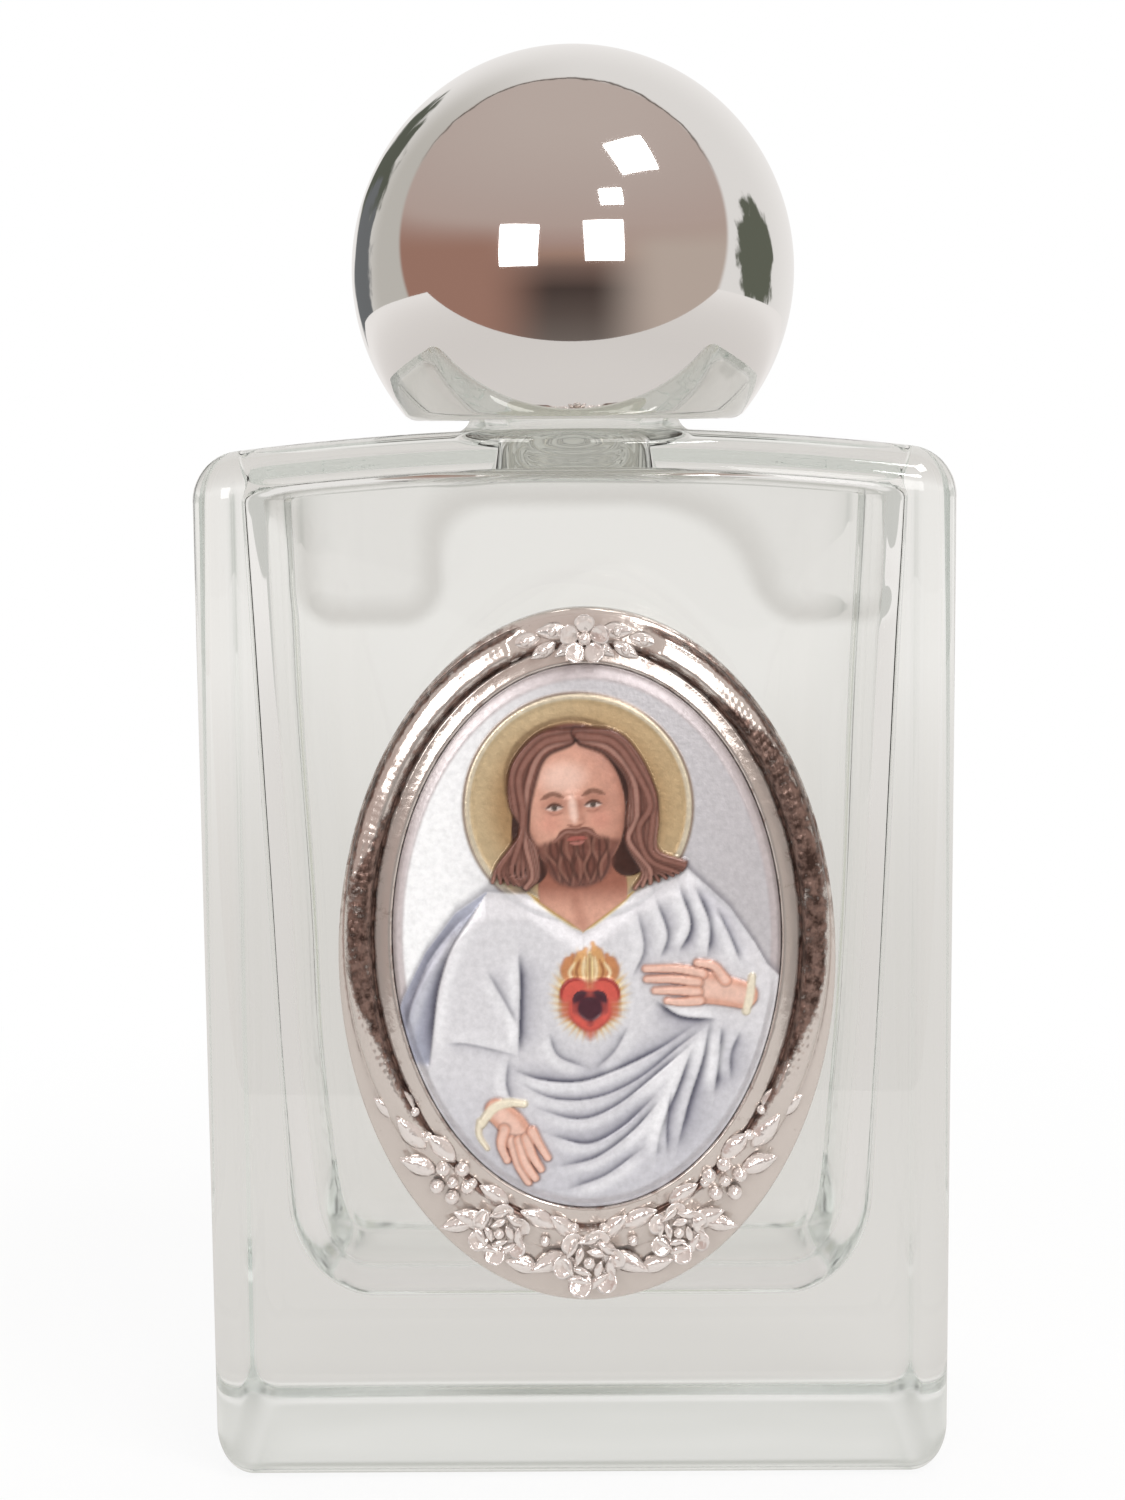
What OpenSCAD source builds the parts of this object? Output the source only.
// Holy water bottle: a flat glass flask with a screw-on ball cap and an oval medallion.
// The origin is the middle of the base, the front faces -Y, and +Z is up. Sizes in mm.

/* [Glass body] */
// Width of the glass body
body_w = 33; // [30:0.5:42]
// Depth of the glass body, front to back
body_d = 17; // [14:0.5:24]
// Height of the glass body at the crown of its shoulder
body_h = 46.5; // [44:0.5:60]
// How far the shoulder falls from its crown to its ends
shoulder_fall = 1.1; // [0.3:0.1:2.5]
// Radius of the upper edges
shoulder_r = 1.9; // [1:0.1:2.5]
// Radius of the lower edges and corners
heel_r = 1.4; // [0.8:0.1:2.2]
// Thickness of the solid glass base
base_t = 7.2; // [4:0.2:10]
// Glass at each side, just under the shoulder
side_wall_top = 1.9; // [1.4:0.1:3]
// Glass at each side, just above the base
side_wall_base = 3.4; // [1.8:0.1:4.5]
// Glass of the front and back faces
face_wall = 2.2; // [1.5:0.1:3]
// Glass above the cavity at the crown of the shoulder
shoulder_wall = 1.8; // [1.5:0.1:4]
// Radius of the cavity's edges
cavity_r = 2.8; // [1.5:0.1:3.5]
// Distance between the two lobes where the front wall sagged under the shoulder
lobe_spread = 19.8; // [17:0.2:21]
// Width of each lobe
lobe_w = 6; // [5.4:0.2:7]
// How far the lobes hang below the crown of the cavity
lobe_drop = 6.4; // [4:0.2:8]
// How far the lobes stand out of the wall
lobe_t = 0.4; // [0.2:0.1:1]
// Radius of the lobes' lower edges
lobe_r = 2.6; // [1:0.1:2.7]
// How far the pair of lobes sits to the right of the middle
lobe_shift = 0.7; // [-1:0.1:1]

/* [Neck] */
// Outside diameter of the neck between its threads
neck_d = 9.4; // [8.8:0.1:9.8]
// Diameter of the pouring bore
bore_d = 6.8; // [6:0.1:7.2]
// Height of the lip above the crown of the shoulder
neck_h = 8.6; // [8:0.1:9.4]
// Bevel on both edges of the lip
lip_bevel = 0.3; // [0.1:0.05:0.4]
// How much the bore opens out where it meets the cavity
throat_flare = 1.2; // [0.4:0.1:2]

/* [Thread] */
// Rise of the thread in one turn
thread_pitch = 2.5; // [2.2:0.1:2.8]
// Turns of thread on the neck and in the cap
thread_turns = 1.5; // [1:0.1:1.6]
// How far the neck's thread stands out
thread_depth = 0.75; // [0.4:0.05:0.9]
// Width of each thread at its foot
thread_foot_w = 1.2; // [0.9:0.05:1.3]
// Width of each thread at its crest
thread_crest_w = 0.6; // [0.3:0.05:0.8]
// Room between the cap's thread and the neck, all round
thread_room = 0.25; // [0.15:0.05:0.35]
// Room under the neck's thread when the cap is tight
thread_play = 0.15; // [0.1:0.05:0.25]
// How far the neck's thread ends below the lip
thread_below_lip = 1.5; // [1.2:0.1:2]

/* [Cap] */
// Diameter of the ball
ball_d = 20; // [18:0.5:24]
// Height of the ball's middle above its flat base
ball_rise = 6.6; // [5:0.1:7]
// Gap between the closed cap and the crown of the shoulder
cap_gap = 0.4; // [0.3:0.1:1]
// Outside diameter of the threaded insert
insert_d = 12.8; // [12.4:0.1:13.2]
// Thickness of the insert's roof
insert_roof = 1; // [0.6:0.1:1.4]
// How far the insert is set back from the ball's base
insert_setback = 0.3; // [0:0.1:0.8]
// Room round the insert in the ball's socket
insert_fit = 0.05; // [0.02:0.01:0.1]
// Radius of the hollow in the ball above the insert
crown_hollow_r = 5; // [3:0.1:5.4]
// Thickness of the sealing liner
liner_t = 0.8; // [0.5:0.1:1.2]
// Room round the liner in the insert
liner_fit = 0.3; // [0.1:0.05:0.5]

/* [Medallion] */
// Width of the picture opening
opening_w = 16.7; // [14:0.1:20]
// Height of the picture opening
opening_h = 23.7; // [20:0.1:26]
// Height of the opening's middle above the base
medallion_z = 24.8; // [22:0.1:32]
// How far the medallion sits to the right of the middle
medallion_x = 0.4; // [-1:0.1:1]
// Width of the flat band round the picture
band_w = 0.75; // [0.7:0.05:1.2]
// Width of the groove outside the band
groove_w = 0.1; // [0.1:0.05:0.6]
// Depth of the groove below the band
groove_d = 0.2; // [0.05:0.05:0.3]
// Width of the raised bead
bead_w = 1.2; // [0.6:0.05:1.4]
// Height of the bead above the frame's back
bead_h = 1.75; // [1.6:0.05:2.4]
// Width of the flange outside the bead at the sides and top
flange_side = 0.3; // [0.2:0.05:1]
// Width of the flange outside the bead at the foot
flange_foot = 2.3; // [1.5:0.1:3]
// Height of the flange where it meets the bead
flange_h = 0.95; // [0.7:0.05:1.2]
// Height of the frame's outer edge
rim_h = 0.6; // [0.3:0.05:0.8]
// Thickness of the lip that holds the picture
lip_t = 0.3; // [0.2:0.05:0.5]
// Width of the lip that holds the picture
lip_w = 0.55; // [0.3:0.05:0.65]
// Thickness of the picture's seat under the lip
plate_t = 0.5; // [0.3:0.05:0.8]
// How far the picture's crown stands above its edge
plate_dome = 0.35; // [0.1:0.05:0.6]
// Thickness of the backing plate
backing_t = 0.4; // [0.2:0.05:0.8]
// Room round the picture and its backing
plate_fit = 0.06; // [0.03:0.01:0.1]
// Thickness of the adhesive pad
pad_t = 0.5; // [0.3:0.1:1]
// How far the pad stays inside the frame's edge
pad_inset = 0.7; // [0.4:0.1:1.5]

/* [Garland] */
// Diameter of the rose at the foot
rose_d = 3.2; // [2.4:0.1:3.6]
// Diameter of the two roses beside it
side_rose_d = 2.8; // [2:0.1:3.2]
// Diameter of the blossoms, here and in the spray at the top
blossom_d = 2.4; // [1.6:0.1:2.8]
// Length of the leaves
leaf_l = 2.4; // [1.6:0.1:3]
// How far roses stand above the bead
rose_proud = 0.15; // [0.05:0.05:0.3]
// How far leaves and blossoms lie below the top of the bead
leaf_drop = 0.15; // [0.05:0.05:0.3]

/* [Hidden] */
$fn = 96;

// Facets of the balls that round the glass, and stations along the shoulder
edge_fn = 32;
arch_steps = 8;
// Facets of one turn of thread, and the share of its length that sinks away at each end
turn_steps = 36;
run_out = 0.12;
// How far a thread's foot, and the crest of its ends, are sunk into the wall
foot_sink = 0.4;
end_sink = 0.15;
// A cut runs this far past the face that it opens
past = 1;
// Stations round the ovals, arcs of the bead, rings of the picture's dome
oval_steps = 72;
bead_steps = 6;
dome_steps = 6;

// Shoulder: an arc over the whole width, and the same arc under the glass
arch_r = (pow(body_w / 2, 2) + pow(shoulder_fall, 2)) / (2 * shoulder_fall);
cavity_crown = body_h - shoulder_wall;
lip_z = body_h + neck_h;

// Thread: the cap's ridge lies close under the neck's
neck_thread_r = neck_d / 2 + thread_depth;
cap_thread_root_r = neck_thread_r + thread_room;
cap_thread_crest_r = neck_d / 2 + thread_room;
neck_thread_z = lip_z - thread_below_lip - thread_pitch * thread_turns;
cap_thread_z = neck_thread_z - (thread_foot_w + thread_crest_w) / 2 - thread_play;

// Cap: stacked up from the shoulder and down from the lip
cap_base_z = body_h + cap_gap;
ball_z = cap_base_z + ball_rise;
liner_top = lip_z + liner_t;
insert_top = liner_top + insert_roof;
socket_d = insert_d + 2 * insert_fit;

// Medallion: heights are measured from the frame's back, widths from the opening
rebate_h = backing_t + plate_t;
band_h = rebate_h + lip_t;
groove_h = band_h - groove_d;
bead_in = band_w + groove_w;
bead_mid = bead_in + bead_w / 2;
bead_out = bead_in + bead_w;
frame_w = opening_w + 2 * (bead_out + flange_side);
frame_h = opening_h + 2 * bead_out + flange_side + flange_foot;
frame_drop = (flange_foot - flange_side) / 2;
leaf_h = bead_h - leaf_drop;

// Garland: angles from the foot, mirrored on both sides
side_rose_at = 22;
blossom_at = 37;
leaf_at = [11, 29, 45, 53];
leaf_tilt = 28;
spray_leaf_at = [8.5, 14];
// Blossoms and roses: petals, and the share of the diameter that a petal or a heart takes
petals = 5;
petal_share = 0.2;
petal_r = blossom_d * petal_share;
// Spray at the top: how far its blossom stays outside the opening
spray_room = 0.05;
spray_at = spray_room + petal_r + (blossom_d / 2 - petal_r) * cos(180 / petals);
// Leaves: radius of the two edges for each mm of length
leaf_edge = 0.62;

// Balls that round the glass, with exact poles and sides
module edge_ball(r) {
    rotate_extrude($fn = edge_fn)
        intersection() {
            circle(r, $fn = edge_fn);
            translate([0, -r]) square([r, 2 * r]);
        }
}

// A block with rounded edges and an arched top; top_arc is the radius of that arch
module shouldered_block(top_w, low_w, depth, floor_z, crown_z, top_arc, top_r, low_r) {
    reach = top_w / 2 - top_r;
    hull()
        for (face = [-1, 1]) {
            for (side = [-1, 1])
                translate([side * (low_w / 2 - low_r), face * (depth / 2 - low_r), floor_z + low_r])
                    edge_ball(low_r);
            for (i = [0 : arch_steps]) {
                x = reach * (2 * i / arch_steps - 1);
                z = crown_z - top_arc + sqrt(pow(top_arc - top_r, 2) - x * x);
                translate([x, face * (depth / 2 - top_r), z]) edge_ball(top_r);
            }
        }
}

// A closed skin over rings of points; a loop joins its last ring to its first
module skin(rings, loop = false) {
    n = len(rings[0]);
    m = len(rings);
    sides = [
        for (i = [0 : (loop ? m - 1 : m - 2)], j = [0 : n - 1])
            let (a = i * n + j, b = i * n + (j + 1) % n,
                 c = ((i + 1) % m) * n + (j + 1) % n, d = ((i + 1) % m) * n + j)
                each [[a, b, c], [a, c, d]]
    ];
    ends = loop ? [] : [[for (j = [n - 1 : -1 : 0]) j], [for (j = [0 : n - 1]) (m - 1) * n + j]];
    polyhedron([for (ring = rings) each ring], concat(sides, ends));
}

// A helical ridge on a wall at root_r; it stands out or in, to crest_r, and sinks away at its ends
module helix_ridge(root_r, crest_r, start_z) {
    steps = ceil(turn_steps * thread_turns);
    depth = crest_r - root_r;
    flank = (thread_foot_w - thread_crest_w) / 2 / abs(depth);
    foot_r = root_r - sign(depth) * foot_sink;
    foot_half = thread_foot_w / 2 + flank * foot_sink;
    crest_half = thread_crest_w / 2;
    rings = [
        for (i = [0 : steps])
            let (t = i / steps,
                 turn = 360 * thread_turns * t,
                 rise = start_z + thread_pitch * thread_turns * t,
                 full = min(1, t / run_out, (1 - t) / run_out),
                 crest = root_r - sign(depth) * end_sink + (depth + sign(depth) * end_sink) * full,
                 section = [[foot_r, -foot_half], [crest, -crest_half],
                            [crest, crest_half], [foot_r, foot_half]])
                [for (k = [0 : 3])
                    let (p = section[depth > 0 ? k : 3 - k])
                        [p.x * cos(turn), p.x * sin(turn), rise + p.y]]
    ];
    skin(rings);
}

// The neck's outside and its bore, each turned from one outline
module neck_outside() {
    neck_r = neck_d / 2;
    rotate_extrude()
        polygon([[0, cavity_crown], [neck_r, cavity_crown], [neck_r, lip_z - lip_bevel],
                 [neck_r - lip_bevel, lip_z], [0, lip_z]]);
}

module neck_inside() {
    bore_r = bore_d / 2;
    rotate_extrude()
        polygon([[0, cavity_crown - past], [bore_r + throat_flare + past, cavity_crown - past],
                 [bore_r, cavity_crown + throat_flare], [bore_r, lip_z - lip_bevel],
                 [bore_r + lip_bevel + past, lip_z + past], [0, lip_z + past]]);
}

// Two lobes on the inside of the front wall, where the glass sagged as it was blown
module lobes() {
    for (side = [-1, 1])
        translate([lobe_shift + side * lobe_spread / 2, face_wall + lobe_t - body_d / 2, cavity_crown])
            rotate([90, 0, 0])
                linear_extrude(lobe_t + past)
                    hull() {
                        for (edge = [-1, 1])
                            translate([edge * (lobe_w / 2 - lobe_r), lobe_r - lobe_drop]) circle(lobe_r);
                        translate([-lobe_w / 2, 0]) square([lobe_w, past]);
                    }
}

// The cavity: narrower at its floor, with the lobes left standing
module cavity() {
    difference() {
        shouldered_block(body_w - 2 * side_wall_top, body_w - 2 * side_wall_base,
                         body_d - 2 * face_wall, base_t, cavity_crown,
                         arch_r - shoulder_wall, cavity_r, cavity_r);
        lobes();
    }
}

module glass_bottle() {
    color([0.82, 0.92, 0.88, 0.5])
    difference() {
        union() {
            shouldered_block(body_w, body_w, body_d, 0, body_h, arch_r, shoulder_r, heel_r);
            neck_outside();
            helix_ridge(neck_d / 2, neck_thread_r, neck_thread_z);
        }
        cavity();
        neck_inside();
    }
}

module cap_shell() {
    color([0.86, 0.85, 0.84])
    difference() {
        translate([0, 0, ball_z]) sphere(d = ball_d);
        translate([0, 0, cap_base_z - ball_d]) cylinder(d = 2 * ball_d, h = ball_d);
        translate([0, 0, cap_base_z - past]) cylinder(d = socket_d, h = insert_top - cap_base_z + past);
        translate([0, 0, insert_top])
            rotate_extrude()
                intersection() {
                    circle(crown_hollow_r);
                    translate([0, -past]) square([crown_hollow_r, crown_hollow_r + past]);
                }
    }
}

module cap_insert() {
    color("ivory") {
        foot_z = cap_base_z + insert_setback;
        difference() {
            translate([0, 0, foot_z]) cylinder(d = insert_d, h = insert_top - foot_z);
            translate([0, 0, foot_z - past])
                cylinder(r = cap_thread_root_r, h = liner_top - foot_z + past);
        }
        helix_ridge(cap_thread_root_r, cap_thread_crest_r, cap_thread_z);
    }
}

module cap_liner() {
    color("whitesmoke")
    translate([0, 0, lip_z]) cylinder(r = cap_thread_root_r - liner_fit, h = liner_t);
}

// The medallion is drawn lying flat, face up, and stood against the front of the glass
module on_front() {
    translate([medallion_x, -body_d / 2 - pad_t, medallion_z]) rotate([90, 0, 0]) children();
}

// Points of an oval of width w and height h, moved down by drop
function oval(w, h, drop = 0) = [
    for (i = [0 : oval_steps - 1])
        let (a = 360 * i / oval_steps) [w / 2 * cos(a), h / 2 * sin(a) - drop]
];

// The oval that lies grow outside the picture opening
function around(grow) = oval(opening_w + 2 * grow, opening_h + 2 * grow);

// Points of an outline, lifted to a height
function at_height(outline, h) = [for (p = outline) [p.x, p.y, h]];

// A point that lies grow outside the opening, at an angle from its foot
function beside(angle, grow) = [(opening_w / 2 + grow) * sin(angle), -(opening_h / 2 + grow) * cos(angle)];

// The moulding is a stack of ovals, from the rebate over the lip, groove and bead to the rim
function frame_rings() = concat(
    [at_height(around(lip_w), 0), at_height(around(lip_w), rebate_h),
     at_height(around(0), rebate_h), at_height(around(0), band_h),
     at_height(around(band_w), band_h), at_height(around(bead_in), groove_h)],
    [for (i = [1 : bead_steps])
        let (a = 180 * i / bead_steps, foot = a < 90 ? groove_h : flange_h)
            at_height(around(bead_mid - bead_w / 2 * cos(a)), foot + (bead_h - foot) * sin(a))],
    [at_height(oval(frame_w, frame_h, frame_drop), rim_h),
     at_height(oval(frame_w, frame_h, frame_drop), 0)]
);

// A pointed leaf, where two discs cross
module leaf() {
    disc_r = leaf_l * leaf_edge;
    aside = sqrt(pow(disc_r, 2) - pow(leaf_l / 2, 2));
    intersection_for (side = [-1, 1]) translate([0, side * aside]) circle(disc_r);
}

// A blossom of round petals
module blossom() {
    circle(petal_r);
    for (i = [0 : petals - 1])
        rotate(90 + 360 * i / petals) translate([blossom_d / 2 - petal_r, 0]) circle(petal_r);
}

// A rose: a low round button with a ring of petals about a raised heart
module rose(d) {
    top = bead_h + rose_proud;
    heart_r = d * petal_share;
    rotate_extrude()
        polygon([[0, rim_h], [d / 2, rim_h], [d / 2, leaf_h - leaf_drop], [d / 2 - heart_r, leaf_h],
                 [heart_r, leaf_h], [heart_r / 2, top], [0, top]]);
}

module medallion_frame() {
    garland_at = bead_out + flange_side;
    color([0.75, 0.72, 0.68])
    on_front() {
        skin(frame_rings(), loop = true);
        translate(beside(0, garland_at)) rose(rose_d);
        for (side = [-1, 1])
            translate(beside(side * side_rose_at, garland_at - flange_side)) rose(side_rose_d);
        translate([0, 0, rim_h])
            linear_extrude(leaf_h - rim_h) {
                for (side = [-1, 1]) {
                    translate(beside(side * blossom_at, bead_mid)) blossom();
                    for (a = leaf_at)
                        translate(beside(side * a, bead_mid)) rotate(side * (a + leaf_tilt)) leaf();
                    for (a = spray_leaf_at)
                        translate(beside(180 + side * a, spray_at)) rotate(side * a) leaf();
                }
                translate(beside(180, spray_at)) blossom();
            }
    }
}

// The picture's seat lies in the rebate, and its domed face fills the opening
module picture_plate() {
    seat = around(lip_w - plate_fit);
    face = around(-plate_fit);
    color([0.85, 0.85, 0.88])
    on_front()
        skin(concat(
            [at_height(seat, backing_t), at_height(seat, rebate_h), at_height(face, rebate_h)],
            [for (i = [0 : dome_steps - 1])
                let (s = cos(90 * i / dome_steps), lift = band_h + plate_dome * (1 - s * s))
                    at_height([for (p = face) s * p], lift)]
        ));
}

module backing_plate() {
    color("dimgray")
    on_front() linear_extrude(backing_t) polygon(around(lip_w - plate_fit));
}

module adhesive_pad() {
    color("white")
    on_front()
        translate([0, 0, -pad_t])
            linear_extrude(pad_t)
                polygon(oval(frame_w - 2 * pad_inset, frame_h - 2 * pad_inset, frame_drop));
}

glass_bottle();
cap_shell();
cap_insert();
cap_liner();
medallion_frame();
picture_plate();
backing_plate();
adhesive_pad();
